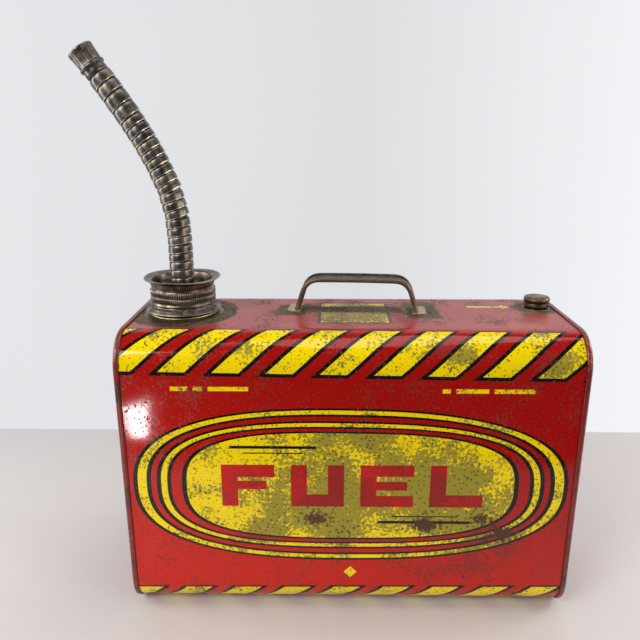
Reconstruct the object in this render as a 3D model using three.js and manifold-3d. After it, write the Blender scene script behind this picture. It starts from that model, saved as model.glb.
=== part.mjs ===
// Portable fuel can of lithographed tinplate with a flexible metal pouring spout.
// Millimetres, +Z up. The origin is the centre of the footprint on the floor: +X runs along the
// can towards the vent cap, and the painted front faces -Y.

import * as THREE from 'three';
import { mergeVertices } from 'three/addons/utils/BufferGeometryUtils.js';
import Module from 'manifold-3d';

const wasm = await Module();
wasm.setup();

// Clearance that parted faces keep, and the tinplate's thickness
const CLEAR = 0.3;
const SHEET = 0.8;

// Tank, over its rolled rims
const LENGTH = 350;
const DEPTH = 140;
const HEIGHT = 235;
const CORNER_R = 25;
const RIM_PROUD = 2.2;
const RIM_WIDTH = 4.4;
const RIM_WEB = 1.0;
const PANEL_RECESS = 6;
const PANEL_BORDER = 15;
const PANEL_RISE = 1.2;
const SEAM_WIDTH = 7;
const SEAM_RISE = 1.2;
const SEAM_Y = 30;
// The sheet necks in by this where it enters a rim, so the underside between the rims is one face
const HEM_STEP = 0.3;

// Filler: raised disc, soldered neck, clamp ring
const FILLER_Y = 3;
const NECK_BORE_R = 20.5;
const NECK_WALL = 1.4;
const NECK_HEIGHT = 14;
const NECK_FLANGE_R = NECK_BORE_R + NECK_WALL + 5.1;
const NECK_FLANGE = 1.0;
const NECK_SPIGOT = 3;
const DISC_R = NECK_FLANGE_R + 6.6;
const DISC_RISE = 1.2;
const DISC_MARGIN = 5.4;
const FILLER_X = -(LENGTH / 2 - DISC_R - DISC_MARGIN);
const THREAD_RISE = 1.2;
const THREAD_PITCH = 3;
const THREAD_TURNS = 3;
const THREAD_SLACK = 0.4;
const THREAD_START = 0.6;
const GASKET = 1.6;
const WASHER = 0.8;
const WASHER_BORE_R = NECK_BORE_R - 1;
const RING_WALL = 1.2;
const RING_THREAD_DEPTH = 1.5;
const RING_R = NECK_BORE_R + NECK_WALL + THREAD_RISE + THREAD_SLACK + RING_THREAD_DEPTH + RING_WALL;
const RING_LIP_R = RING_R + 4;
const RING_HEIGHT = 26.5;
const RING_LIFT = 2.1;
const RING_LIP = 0.9;
const RING_SHOULDER = 1.3;
// Outside of the ring between its lips: height over its lower edge, and distance outside RING_R
const RING_BEADS = [
  [3.4, 1.2],
  [5.0, 0.4],
  [6.4, 0.9],
  [7.6, 0.2],
  [11.6, 0.2],
  [12.2, -0.3],
  [12.8, 0.3],
  [16.8, 0.3],
  [18.0, -0.4],
  [19.6, -0.4],
  [21.0, 0.2],
  [23.5, 0.4],
];
// Inside of the ring: the two thread grooves' low edges, and their length
const RING_GROOVES = [9.0, 5.5];
const RING_GROOVE_LENGTH = 2.0;
const RING_GROOVE_FLANK = 0.6;
const RING_MOUTH_FLARE = 3.0;
const RING_MOUTH_HEIGHT = 3.2;
const RING_LIP_DROP = 1.6;
const CUP_PLATE = 0.9;
const CUP_SKIRT = 6;

// Flexible spout
const HOSE_R = 9.4;
const BALL_R = HOSE_R - 1.4;
const HOSE_BORE_R = BALL_R - 2.4;
const BALL_CLEAR = 0.4;
const BALL_TOP = 2.6;
const BALL_GAP = 4.4;
const BALL_POCKET = 6.0;
const SOCKET_WALL = 1.2;
const SOCKET_HEIGHT = 6;
const SOCKET_FLANGE_R = HOSE_R + 5.6;
const SOCKET_DEPTH = 3;
const FOOT_DEPTH = 2;
const FOOT_LENGTH = 44.5;
const LINK_LENGTH = 20.5;
const LINK_BENDS = [3.5, 9.5, 9.5, 4.5, 4, 2.5, 2];
const NOZZLE_LENGTH = 16;
const NOZZLE_TIP_R = HOSE_R + 0.7;
const NOZZLE_ROOT_R = HOSE_R - 0.7;
const NOZZLE_WALL = 1.1;
const NOZZLE_OVERLAP = 6;
const NOZZLE_COLLAR = 0.8;
const NOZZLE_COLLAR_HEIGHT = 1.5;
const NOZZLE_LIP = 0.3;
const NOZZLE_SPIGOT = 3;

// Vent
const VENT_Y = 20;
const VENT_BORE_R = 5.7;
const VENT_WALL = 1.3;
const VENT_FLANGE_R = VENT_BORE_R + VENT_WALL + 4.4;
const VENT_MARGIN = 5.3;
const VENT_X = LENGTH / 2 - VENT_FLANGE_R - VENT_MARGIN;
const VENT_FLANGE_BEVEL = 1.4;
const VENT_FLANGE = 1.0;
const VENT_HEIGHT = 6.4;
const VENT_SPIGOT = 3;
const VENT_THREAD = 0.6;
const LINER = 1.2;
const CAP_WALL = 1.1;
const CAP_SLACK = 1.9;
const CAP_R = VENT_BORE_R + VENT_WALL + VENT_THREAD + CAP_SLACK + CAP_WALL;
// Outside of the cap: share of its height, and distance inside CAP_R
const CAP_BEADS = [
  [0, 0.3],
  [0.12, 0],
  [0.32, 0],
  [0.44, 0.6],
  [0.52, 0.6],
  [0.64, 0],
  [0.88, 0],
  [1, 0.8],
];
const CAP_ROOF = 1.0;
const CAP_SKIRT_LIFT = 1.2;

// Handle
const HANDLE_X = 6.4;
const HANDLE_Y = 11;
const HANDLE_SKEW = -4;
const HANDLE_WIDTH = 22;
const HANDLE_RISE = 29.6;
const HANDLE_BEAD_R = 2.0;
const HANDLE_WEB = 1.2;
const HANDLE_FOOT_HALF = 49;
const HANDLE_TOP_HALF = 41;
const HANDLE_BEND = 11;
const HANDLE_TAB = 8;
const HANDLE_TAB_THICK = 1.6;
const HANDLE_TAB_UNDER = 3;
const HANDLE_SINK = 0.9;

// Facets
const CORNER_STEPS = 6;
const WIDE_SEGMENTS = 32;
const SMALL_SEGMENTS = 24;
const HOSE_SEGMENTS = 20;
const STRAP_STEPS = 24;
const BALL_STEPS = 4;
const BEAD_SEGMENTS = 5;

const degrees = THREE.MathUtils.degToRad;
const group = new THREE.Group();

const finishes = {
  litho: { color: 0xc01a12, roughness: 0.32, metalness: 0.1 },
  rim: { color: 0x9c2a1e, roughness: 0.4, metalness: 0.3 },
  darkSteel: { color: 0x3b342c, roughness: 0.42, metalness: 0.85 },
  bareSteel: { color: 0x8a8272, roughness: 0.4, metalness: 0.9 },
  gunmetal: { color: 0x45464a, roughness: 0.3, metalness: 0.95 },
  handleSteel: { color: 0x33261e, roughness: 0.4, metalness: 0.7 },
  capBrown: { color: 0x3a2820, roughness: 0.45, metalness: 0.5 },
  cork: { color: 0x8a6238, roughness: 0.9, metalness: 0 },
};

function addNode(name, geometry, finish, parent = group) {
  const mesh = new THREE.Mesh(geometry, new THREE.MeshStandardMaterial(finishes[finish]));
  mesh.name = name;
  parent.add(mesh);
  return mesh;
}

// Booleans

function bare(geometry) {
  const copy = geometry.index ? geometry.toNonIndexed() : geometry.clone();
  copy.deleteAttribute('normal');
  copy.deleteAttribute('uv');
  return mergeVertices(copy, 1e-4);
}

function toSolid(geometry) {
  const merged = bare(geometry);
  const vertProperties = new Float32Array(merged.attributes.position.array);
  const triVerts = new Uint32Array(merged.index.array);
  return new wasm.Manifold(new wasm.Mesh({ numProp: 3, vertProperties, triVerts }));
}

function toGeometry(solid) {
  const mesh = solid.getMesh();
  const geometry = new THREE.BufferGeometry();
  geometry.setAttribute('position', new THREE.BufferAttribute(mesh.vertProperties, 3));
  geometry.setIndex(new THREE.BufferAttribute(mesh.triVerts, 1));
  return geometry;
}

function combine(start, added, removed) {
  let solid = toSolid(start);
  for (const piece of added) solid = solid.add(toSolid(piece));
  for (const piece of removed) solid = solid.subtract(toSolid(piece));
  return toGeometry(solid);
}

// Shapes

const alongX = new THREE.Matrix4().makeBasis(
  new THREE.Vector3(0, 1, 0),
  new THREE.Vector3(0, 0, 1),
  new THREE.Vector3(1, 0, 0),
);

// The tank's section in its YZ plane, grown by offset from the outer face of the sheet
function sectionOutline(shape, offset) {
  const halfY = DEPTH / 2 - RIM_PROUD + offset;
  const low = RIM_PROUD - offset;
  const high = HEIGHT - RIM_PROUD + offset;
  const r = CORNER_R + offset;
  shape.moveTo(halfY, low + r);
  shape.lineTo(halfY, high - r);
  shape.absarc(halfY - r, high - r, r, 0, Math.PI / 2, false);
  shape.lineTo(-halfY + r, high);
  shape.absarc(-halfY + r, high - r, r, Math.PI / 2, Math.PI, false);
  shape.lineTo(-halfY, low + r);
  shape.absarc(-halfY + r, low + r, r, Math.PI, Math.PI * 1.5, false);
  shape.lineTo(halfY - r, low);
  shape.absarc(halfY - r, low + r, r, Math.PI * 1.5, Math.PI * 2, false);
  return shape;
}

// A length of the section from x0 to x1, hollow where a hole offset is given
function sectionBar(x0, x1, offset, holeOffset) {
  const shape = sectionOutline(new THREE.Shape(), offset);
  if (holeOffset !== undefined) shape.holes.push(sectionOutline(new THREE.Path(), holeOffset));
  const settings = { depth: x1 - x0, bevelEnabled: false, curveSegments: CORNER_STEPS };
  const geometry = new THREE.ExtrudeGeometry(shape, settings);
  return geometry.applyMatrix4(alongX).translate(x0, 0, 0);
}

// A turned piece about Z from a list of [radius, height], taken anticlockwise
function turned(profile, segments, x = 0, y = 0) {
  const points = profile.map(([r, h]) => new THREE.Vector2(r, h));
  const onAxis = points[0].x === 0 && points[points.length - 1].x === 0;
  if (!onAxis) points.push(points[0].clone());
  const geometry = new THREE.LatheGeometry(points, segments);
  return geometry.rotateX(Math.PI / 2).translate(x, y, 0);
}

function turnedRod(r, z0, z1, segments, x, y) {
  return turned([[0, z0], [r, z0], [r, z1], [0, z1]], segments, x, y);
}

function turnedTube(outer, inner, z0, z1, segments, x, y) {
  return turned([[inner, z0], [outer, z0], [outer, z1], [inner, z1]], segments, x, y);
}

// Thread crests on a turned wall: the profile points of each ridge, from the bottom up
function threadCrests(wallR, rise, z0, count, pitch) {
  const points = [];
  for (let i = 0; i < count; i++) {
    const z = z0 + i * pitch;
    points.push([wallR, z], [wallR + rise, z + pitch * 0.3]);
    points.push([wallR + rise, z + pitch * 0.45], [wallR, z + pitch * 0.75]);
  }
  return points;
}

// Tank

const topZ = HEIGHT - RIM_PROUD;
const discTop = topZ + DISC_RISE;
const neckOuterR = NECK_BORE_R + NECK_WALL;
const fillerHoleR = neckOuterR + CLEAR;
const ventOuterR = VENT_BORE_R + VENT_WALL;
const ventHoleR = ventOuterR + CLEAR;
const sheetEndX = LENGTH / 2 - RIM_WEB - CLEAR;

const hemX = LENGTH / 2 - RIM_WIDTH - CLEAR;
// Cutters run past the sheet by this on both sides
const CUT = 5;

function bodySheet() {
  const tube = sectionBar(-hemX, hemX, 0, -SHEET);
  const leftHem = sectionBar(-sheetEndX, SHEET - hemX, -HEM_STEP, -SHEET);
  const rightHem = sectionBar(hemX - SHEET, sheetEndX, -HEM_STEP, -SHEET);
  const disc = turnedRod(DISC_R, topZ - SHEET, discTop, WIDE_SEGMENTS, FILLER_X, FILLER_Y);
  const seamZ = RIM_PROUD + SHEET;
  const panelEnd = LENGTH / 2 - PANEL_RECESS - SHEET - CLEAR;
  const seam = new THREE.BoxGeometry(2 * panelEnd, SEAM_WIDTH, SEAM_RISE + SHEET);
  seam.translate(0, SEAM_Y, seamZ + (SEAM_RISE - SHEET) / 2);
  const pressR = DISC_R - SHEET;
  const press = turnedRod(pressR, topZ - 2 * SHEET, discTop - SHEET, WIDE_SEGMENTS, FILLER_X, FILLER_Y);
  const filler = turnedRod(fillerHoleR, topZ - CUT, topZ + CUT, WIDE_SEGMENTS, FILLER_X, FILLER_Y);
  const vent = turnedRod(ventHoleR, topZ - CUT, topZ + CUT, SMALL_SEGMENTS, VENT_X, VENT_Y);
  return combine(tube, [leftHem, rightHem, disc, seam], [press, filler, vent]);
}

// Recessed end with a rolled rim that grips the sheet's edge, drawn for the +X end
function endPanel() {
  const outerX = LENGTH / 2;
  const plateX = outerX - PANEL_RECESS;
  const gripOffset = -SHEET - CLEAR;
  const wallOffset = gripOffset - SHEET;
  const rim = sectionBar(outerX - RIM_WIDTH, outerX, RIM_PROUD, wallOffset);
  const groove = sectionBar(outerX - RIM_WIDTH - 1, outerX - RIM_WEB, CLEAR, gripOffset);
  const wall = sectionBar(plateX - SHEET, outerX - RIM_WEB / 2, gripOffset, wallOffset);
  const plate = sectionBar(plateX - SHEET, plateX, gripOffset);
  const raised = sectionBar(plateX - SHEET, plateX + PANEL_RISE, wallOffset - PANEL_BORDER);
  const hollowOffset = wallOffset - PANEL_BORDER - SHEET;
  const hollow = sectionBar(plateX - 2 * SHEET, plateX + PANEL_RISE - SHEET, hollowOffset);
  const grip = combine(rim, [], [groove]);
  return combine(grip, [wall, plate, raised], [hollow]);
}

addNode('body_sheet', bodySheet(), 'litho');
addNode('right_end_panel', endPanel(), 'rim');
addNode('left_end_panel', endPanel().applyMatrix4(new THREE.Matrix4().makeRotationZ(Math.PI)), 'rim');

// Filler

const flangeZ = discTop + CLEAR;
const neckTop = flangeZ + NECK_HEIGHT;
const threadLow = neckTop - THREAD_TURNS * THREAD_PITCH - THREAD_START;
const threadR = neckOuterR + THREAD_RISE;
const gasketZ = neckTop + CLEAR;
const cupZ = gasketZ + GASKET + CLEAR;
const cupTop = cupZ + CUP_PLATE;
const washerZ = cupTop + CLEAR;
const shoulderZ = washerZ + WASHER + CLEAR;
const ringZ = flangeZ + NECK_FLANGE + RING_LIFT;
const ringTop = ringZ + RING_HEIGHT;
const socketBoreR = HOSE_R + CLEAR;
const socketR = socketBoreR + SOCKET_WALL;
const cupHoleR = socketR + CLEAR;
const footZ = cupZ - FOOT_DEPTH;

function fillerNeck() {
  const crests = threadCrests(neckOuterR, THREAD_RISE, threadLow, THREAD_TURNS, THREAD_PITCH);
  const profile = [
    [NECK_BORE_R, flangeZ - NECK_SPIGOT],
    [neckOuterR, flangeZ - NECK_SPIGOT],
    [neckOuterR, flangeZ],
    [NECK_FLANGE_R, flangeZ],
    [NECK_FLANGE_R, flangeZ + NECK_FLANGE],
    [neckOuterR, flangeZ + NECK_FLANGE],
    ...crests,
    [neckOuterR, neckTop],
    [NECK_BORE_R, neckTop],
  ];
  return turned(profile, WIDE_SEGMENTS, FILLER_X, FILLER_Y);
}

// Ring with a flared lip at each end, two knurled bands, and a shoulder that clamps the spout cup
function fillerRing() {
  const bore = RING_R - RING_WALL;
  const crestR = threadR + THREAD_SLACK;
  const outside = RING_BEADS.map(([height, out]) => [RING_R + out, ringZ + height]);
  const grooves = RING_GROOVES.flatMap((low) => [
    [bore, ringZ + low + RING_GROOVE_LENGTH],
    [crestR, ringZ + low + RING_GROOVE_LENGTH - RING_GROOVE_FLANK],
    [crestR, ringZ + low + RING_GROOVE_FLANK],
    [bore, ringZ + low],
  ]);
  const profile = [
    [bore + RING_MOUTH_FLARE, ringZ],
    [RING_LIP_R, ringZ],
    [RING_LIP_R, ringZ + RING_LIP],
    ...outside,
    [RING_LIP_R, ringTop - RING_LIP],
    [RING_LIP_R, ringTop],
    [bore, ringTop - RING_LIP_DROP],
    [bore, shoulderZ + RING_SHOULDER],
    [WASHER_BORE_R, shoulderZ + RING_SHOULDER],
    [WASHER_BORE_R, shoulderZ],
    [bore, shoulderZ],
    ...grooves,
    [bore, ringZ + RING_MOUTH_HEIGHT],
  ];
  return turned(profile, WIDE_SEGMENTS, FILLER_X, FILLER_Y);
}

// Pressed plate that carries the hose, with a skirt that centres it in the neck
function spoutCup() {
  const skirtR = NECK_BORE_R - CLEAR;
  const profile = [
    [cupHoleR, cupZ],
    [skirtR - CUP_PLATE, cupZ],
    [skirtR - CUP_PLATE, cupZ - CUP_SKIRT],
    [skirtR, cupZ - CUP_SKIRT],
    [skirtR, cupZ],
    [threadR, cupZ],
    [threadR, cupTop],
    [cupHoleR, cupTop],
  ];
  return turned(profile, WIDE_SEGMENTS, FILLER_X, FILLER_Y);
}

function hoseSocket() {
  const seat = cupTop + CLEAR;
  const profile = [
    [socketBoreR, cupZ - SOCKET_DEPTH],
    [socketR, cupZ - SOCKET_DEPTH],
    [socketR, seat],
    [SOCKET_FLANGE_R, seat],
    [SOCKET_FLANGE_R, seat + CUP_PLATE],
    [socketR, seat + CUP_PLATE],
    [socketR, seat + SOCKET_HEIGHT],
    [socketBoreR, seat + SOCKET_HEIGHT],
  ];
  return turned(profile, HOSE_SEGMENTS, FILLER_X, FILLER_Y);
}

const gasketTop = gasketZ + GASKET;
const washerTop = washerZ + WASHER;
addNode('filler_neck', fillerNeck(), 'bareSteel');
addNode('filler_gasket', turnedTube(threadR, NECK_BORE_R, gasketZ, gasketTop, WIDE_SEGMENTS,
  FILLER_X, FILLER_Y), 'cork');
addNode('spout_cup', spoutCup(), 'darkSteel');
addNode('slip_washer', turnedTube(threadR, WASHER_BORE_R, washerZ, washerTop, WIDE_SEGMENTS,
  FILLER_X, FILLER_Y), 'bareSteel');
addNode('filler_ring', fillerRing(), 'darkSteel');
addNode('hose_socket', hoseSocket(), 'darkSteel');

// Flexible spout: each stretch ends in a hollow ball that the next one's mouth turns on

function ballPoints(centreZ, length) {
  const points = [];
  const low = Math.asin(-BALL_GAP / BALL_R);
  const high = Math.asin(BALL_TOP / BALL_R);
  for (let i = 0; i <= BALL_STEPS; i++) {
    const angle = low + (high - low) * (i / BALL_STEPS);
    points.push([BALL_R * Math.cos(angle), centreZ + BALL_R * Math.sin(angle)]);
  }
  return [[HOSE_R, length - BALL_GAP], ...points, [HOSE_BORE_R, centreZ + BALL_TOP]];
}

function hoseFoot() {
  const profile = [[HOSE_BORE_R, 0], [HOSE_R, 0], ...ballPoints(FOOT_LENGTH, FOOT_LENGTH)];
  return turned(profile, HOSE_SEGMENTS);
}

const pocketR = BALL_R + BALL_CLEAR;
const pocket = [[HOSE_BORE_R, BALL_POCKET], [pocketR, BALL_POCKET], [pocketR, 0]];

function hoseLink() {
  const profile = [...pocket, [HOSE_R, 0], ...ballPoints(LINK_LENGTH, LINK_LENGTH)];
  return turned(profile, HOSE_SEGMENTS);
}

// The last link has a plain end, which the nozzle's root closes over
function hoseEndLink() {
  const stepZ = LINK_LENGTH - NOZZLE_OVERLAP;
  const endZ = LINK_LENGTH + NOZZLE_SPIGOT;
  const spigotR = NOZZLE_ROOT_R - NOZZLE_WALL - CLEAR;
  const profile = [...pocket, [HOSE_R, 0], [HOSE_R, stepZ]];
  profile.push([spigotR, stepZ], [spigotR, endZ], [HOSE_BORE_R, endZ]);
  return turned(profile, HOSE_SEGMENTS);
}

function nozzle() {
  const rootZ = CLEAR - NOZZLE_OVERLAP;
  const profile = [
    [NOZZLE_ROOT_R - NOZZLE_WALL, rootZ],
    [NOZZLE_ROOT_R, rootZ],
    [NOZZLE_ROOT_R, 0],
    [NOZZLE_ROOT_R + NOZZLE_COLLAR, NOZZLE_COLLAR_HEIGHT],
    [NOZZLE_TIP_R, NOZZLE_LENGTH - 1],
    [NOZZLE_TIP_R - NOZZLE_LIP, NOZZLE_LENGTH],
    [NOZZLE_TIP_R - NOZZLE_WALL, NOZZLE_LENGTH],
    [NOZZLE_ROOT_R - NOZZLE_WALL, NOZZLE_COLLAR_HEIGHT],
  ];
  return turned(profile, HOSE_SEGMENTS);
}

let carrier = new THREE.Group();
carrier.position.set(FILLER_X, FILLER_Y, footZ);
group.add(carrier);
addNode('hose_foot', hoseFoot(), 'gunmetal', carrier);
let reach = FOOT_LENGTH;
LINK_BENDS.forEach((bend, index) => {
  const joint = new THREE.Group();
  joint.position.z = reach;
  joint.rotation.y = -degrees(bend);
  carrier.add(joint);
  const last = index === LINK_BENDS.length - 1;
  addNode(`hose_link_${index + 1}`, last ? hoseEndLink() : hoseLink(), 'gunmetal', joint);
  carrier = joint;
  reach = LINK_LENGTH;
});
addNode('nozzle', nozzle(), 'gunmetal', carrier).position.z = LINK_LENGTH;

// Vent

const ventFlangeZ = topZ + CLEAR;
const ventTop = ventFlangeZ + VENT_FLANGE + VENT_HEIGHT;
const linerZ = ventTop + CLEAR;
const roofZ = linerZ + LINER + CLEAR;
const capTop = roofZ + CAP_ROOF;
const capLow = ventFlangeZ + VENT_FLANGE + CAP_SKIRT_LIFT;

function ventNeck() {
  const profile = [
    [VENT_BORE_R, ventFlangeZ - VENT_SPIGOT],
    [ventOuterR, ventFlangeZ - VENT_SPIGOT],
    [ventOuterR, ventFlangeZ],
    [VENT_FLANGE_R, ventFlangeZ],
    [VENT_FLANGE_R, ventFlangeZ + VENT_FLANGE * 0.6],
    [VENT_FLANGE_R - VENT_FLANGE_BEVEL, ventFlangeZ + VENT_FLANGE],
    [ventOuterR + VENT_THREAD, ventFlangeZ + VENT_FLANGE],
    [ventOuterR + VENT_THREAD, ventTop - 0.6],
    [ventOuterR, ventTop],
    [VENT_BORE_R, ventTop],
  ];
  return turned(profile, SMALL_SEGMENTS, VENT_X, VENT_Y);
}

function ventCap() {
  const bore = CAP_R - CAP_WALL;
  const height = capTop - capLow;
  const outside = CAP_BEADS.map(([share, inset]) => [CAP_R - inset, capLow + height * share]);
  const profile = [[0, roofZ], [bore, roofZ], [bore, capLow], ...outside, [0, capTop]];
  return turned(profile, SMALL_SEGMENTS, VENT_X, VENT_Y);
}

const linerR = ventOuterR + VENT_THREAD;
addNode('vent_neck', ventNeck(), 'capBrown');
addNode('vent_liner', turnedRod(linerR, linerZ, linerZ + LINER, SMALL_SEGMENTS, VENT_X, VENT_Y), 'cork');
addNode('vent_cap', ventCap(), 'capBrown');

// Handle: a strap with both edges rolled into beads, bent to a U, with feet turned out flat

function strapSection() {
  const shape = new THREE.Shape();
  const centre = HANDLE_WIDTH / 2 - HANDLE_BEAD_R;
  const half = Math.asin(HANDLE_WEB / 2 / HANDLE_BEAD_R);
  shape.absarc(centre, 0, HANDLE_BEAD_R, -Math.PI + half, Math.PI - half, false);
  shape.absarc(-centre, 0, HANDLE_BEAD_R, half, 2 * Math.PI - half, false);
  shape.closePath();
  return shape;
}

function strapPath() {
  const low = HANDLE_TAB_THICK / 2 + CLEAR + HANDLE_SINK;
  const high = HANDLE_RISE - HANDLE_BEAD_R;
  const foot = new THREE.Vector3(HANDLE_FOOT_HALF, 0, low);
  const corner = new THREE.Vector3(HANDLE_TOP_HALF, 0, high);
  const legEnd = corner.clone().add(foot.clone().sub(corner).setLength(HANDLE_BEND));
  const barEnd = corner.clone().setX(HANDLE_TOP_HALF - HANDLE_BEND);
  const mirrored = (v) => new THREE.Vector3(-v.x, v.y, v.z);
  const path = new THREE.CurvePath();
  path.add(new THREE.LineCurve3(mirrored(foot), mirrored(legEnd)));
  path.add(new THREE.QuadraticBezierCurve3(mirrored(legEnd), mirrored(corner), mirrored(barEnd)));
  path.add(new THREE.LineCurve3(mirrored(barEnd), barEnd));
  path.add(new THREE.QuadraticBezierCurve3(barEnd, corner, legEnd));
  path.add(new THREE.LineCurve3(legEnd, foot));
  return path;
}

function handle() {
  const settings = { steps: STRAP_STEPS, bevelEnabled: false, extrudePath: strapPath() };
  settings.curveSegments = BEAD_SEGMENTS;
  const strap = new THREE.ExtrudeGeometry(strapSection(), settings);
  const tabs = [-1, 1].map((side) => {
    const length = HANDLE_TAB + HANDLE_TAB_UNDER;
    const tab = new THREE.BoxGeometry(length, HANDLE_WIDTH, HANDLE_TAB_THICK);
    const x = side * (HANDLE_FOOT_HALF + HANDLE_TAB + 1 - length / 2);
    return tab.translate(x, 0, CLEAR + HANDLE_TAB_THICK / 2);
  });
  return combine(strap, tabs, []);
}

const handleMesh = addNode('handle', handle(), 'handleSteel');
handleMesh.position.set(HANDLE_X, HANDLE_Y, topZ);
handleMesh.rotation.z = degrees(HANDLE_SKEW);

export default group;
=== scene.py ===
import math

import bmesh
import bpy
from mathutils import Matrix, Vector


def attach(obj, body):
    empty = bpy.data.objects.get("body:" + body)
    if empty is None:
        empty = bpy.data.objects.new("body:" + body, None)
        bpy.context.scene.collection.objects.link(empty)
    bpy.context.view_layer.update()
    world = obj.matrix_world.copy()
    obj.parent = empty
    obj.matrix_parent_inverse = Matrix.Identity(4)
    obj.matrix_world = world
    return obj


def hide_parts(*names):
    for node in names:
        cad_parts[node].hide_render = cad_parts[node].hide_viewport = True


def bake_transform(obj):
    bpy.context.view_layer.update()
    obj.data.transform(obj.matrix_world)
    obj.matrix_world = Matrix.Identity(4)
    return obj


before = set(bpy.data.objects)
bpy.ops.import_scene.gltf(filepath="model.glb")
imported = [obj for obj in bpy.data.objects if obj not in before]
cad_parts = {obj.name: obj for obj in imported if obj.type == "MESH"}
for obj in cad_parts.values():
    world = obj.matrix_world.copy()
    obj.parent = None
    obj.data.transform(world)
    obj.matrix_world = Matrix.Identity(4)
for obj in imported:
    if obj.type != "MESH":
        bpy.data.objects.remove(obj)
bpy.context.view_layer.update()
MM = 0.001

# Camera: a moderately wide lens half a metre in front of the can and above its handle. It looks down
# at the painted front, turned to the left by less than a degree.
camera_data = bpy.data.cameras.new("camera")
camera = bpy.data.objects.new("camera", camera_data)
bpy.context.scene.collection.objects.link(camera)
camera.location = (-0.0172, -0.5124, 0.3795)
camera.rotation_euler = (math.radians(90 - 16.51), 0, math.radians(0.76))
camera_data.lens = 36.56
camera_data.clip_start = 0.01
bpy.context.scene.camera = camera
bpy.context.scene.view_settings.view_transform = "Standard"

# Studio: a white table with a white backdrop well behind it, which glows with painted light, brightest
# at the left and fading to the right. One large soft lamp stands to the left, one overhead and a weaker,
# warm one to the right. A strip lights the left end, a small lamp the table at the right, and a small
# panel low in front shows in the paint.


def linear(hex_colour):
    """An sRGB hex colour as the linear numbers that a shader takes."""
    channels = [int(hex_colour[i : i + 2], 16) / 255 for i in (1, 3, 5)]
    return [c / 12.92 if c <= 0.04045 else ((c + 0.055) / 1.055) ** 2.4 for c in channels] + [1]


def add(tree, kind, feeds=(), **settings):
    """One shader node with its settings. Feeds are values or other nodes' sockets, by name or by number."""
    made = tree.nodes.new("ShaderNode" + kind)
    for name, value in settings.items():
        setattr(made, name, value)
    for place, value in dict(feeds).items():
        if isinstance(value, bpy.types.NodeSocket):
            tree.links.new(value, made.inputs[place])
        else:
            made.inputs[place].default_value = value
    return made


def finish_for(name, **surface):
    """An empty material with its Principled shader, and the numbers that are the same all over."""
    material = bpy.data.materials.new(name)
    material.use_nodes = True
    shader = material.node_tree.nodes["Principled BSDF"]
    for socket, value in surface.items():
        shader.inputs[socket.replace("_", " ")].default_value = value
    return material, material.node_tree, shader


TABLE_FRONT, TABLE_BACK, WALL_Y, HALF_STAGE = -0.31, 0.26, 1.7, 3.0
WALL_LOW, WALL_TOP = -1.2, 2.4
WALL_PAINTED_LIGHT = 0.70
for name, corners, dark, light in (
    ("table", [(TABLE_FRONT, 0.0), (TABLE_BACK, 0.0)], "#D2CCCA", "#D8D2D0"),
    ("backdrop", [(WALL_Y, WALL_LOW), (WALL_Y, WALL_TOP)], "#5E6061", "#626465"),
):
    stage_mesh = bpy.data.meshes.new(name)
    (y0, z0), (y1, z1) = corners
    sheet_corners = [
        (-HALF_STAGE, y0, z0), (HALF_STAGE, y0, z0), (HALF_STAGE, y1, z1), (-HALF_STAGE, y1, z1),
    ]
    stage_mesh.from_pydata(sheet_corners, [], [(0, 1, 2, 3)])
    stage = bpy.data.objects.new(name, stage_mesh)
    bpy.context.scene.collection.objects.link(stage)
    matt, tree, shader = finish_for("matt_white_" + name, Roughness=0.55, Specular_IOR_Level=0.3)
    pulp = add(tree, "TexNoise", {"Scale": 900.0, "Detail": 2.0}).outputs["Fac"]
    shade = add(tree, "Mix", {0: pulp, 6: linear(dark), 7: linear(light)}, data_type="RGBA").outputs[2]
    tree.links.new(shade, shader.inputs["Base Color"])
    if name == "backdrop":
        # Painted light: the backdrop glows, brightest at the left and fading off to the right, as if lit from
        # the left.
        across = add(tree, "SeparateXYZ", {0: add(tree, "TexCoord").outputs["Object"]}).outputs[0]
        left = add(tree, "MapRange", {0: across, 1: -1.1, 2: 0.0, 3: 1.12 * WALL_PAINTED_LIGHT, 4: WALL_PAINTED_LIGHT})
        right = add(tree, "MapRange", {0: across, 1: 0.1, 2: 1.1, 3: 0.0, 4: 0.3 * WALL_PAINTED_LIGHT})
        wall_painted_light = add(tree, "Math", {0: left.outputs[0], 1: right.outputs[0]}, operation="ADD")
        tree.links.new(wall_painted_light.outputs[0], shader.inputs["Emission Strength"])
        shader.inputs["Emission Color"].default_value = linear("#FAFCFF")
    stage_mesh.materials.append(matt)

LAMPS = [
    ("key", (-0.85, -0.95, 0.95), (0, 0, 0.15), (0.7, 0.7), 12.0, "#FFFFFF"),
    ("overhead", (0.15, -0.05, 1.35), (0, 0.05, 0.1), (1.1, 0.5), 4.2, "#FBFCFF"),
    ("fill", (1.1, -0.7, 0.55), (0, 0, 0.2), (0.5, 0.8), 5.5, "#FFF4E8"),
    ("left_strip", (-0.75, -0.05, 0.40), (-0.15, 0.0, 0.3), (0.25, 0.5), 2.4, "#FFFFFF"),
    ("right_table", (0.75, 0.05, 0.50), (0.60, 0.0, 0.0), (0.3, 0.3), 2.8, "#FFFFFF"),
    ("low_panel", (-0.2426, -0.3346, 0.0443), (-0.158, -0.0678, 0.170), (0.026, 0.023), 0.08, "#FFFFFF"),
]
for name, place, target, (width, height), watts, colour in LAMPS:
    lamp = bpy.data.lights.new(name, "AREA")
    lamp.shape, lamp.size, lamp.size_y = "RECTANGLE", width, height
    lamp.energy, lamp.color = watts, linear(colour)[:3]
    holder = bpy.data.objects.new(name, lamp)
    bpy.context.scene.collection.objects.link(holder)
    holder.location = place
    holder.rotation_euler = (Vector(target) - Vector(place)).to_track_quat("-Z", "Y").to_euler()
world = bpy.data.worlds.new("room")
world.use_nodes = True
world.node_tree.nodes["Background"].inputs["Color"].default_value = linear("#E4E6EA")
world.node_tree.nodes["Background"].inputs["Strength"].default_value = 0.10
bpy.context.scene.world = world


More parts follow.
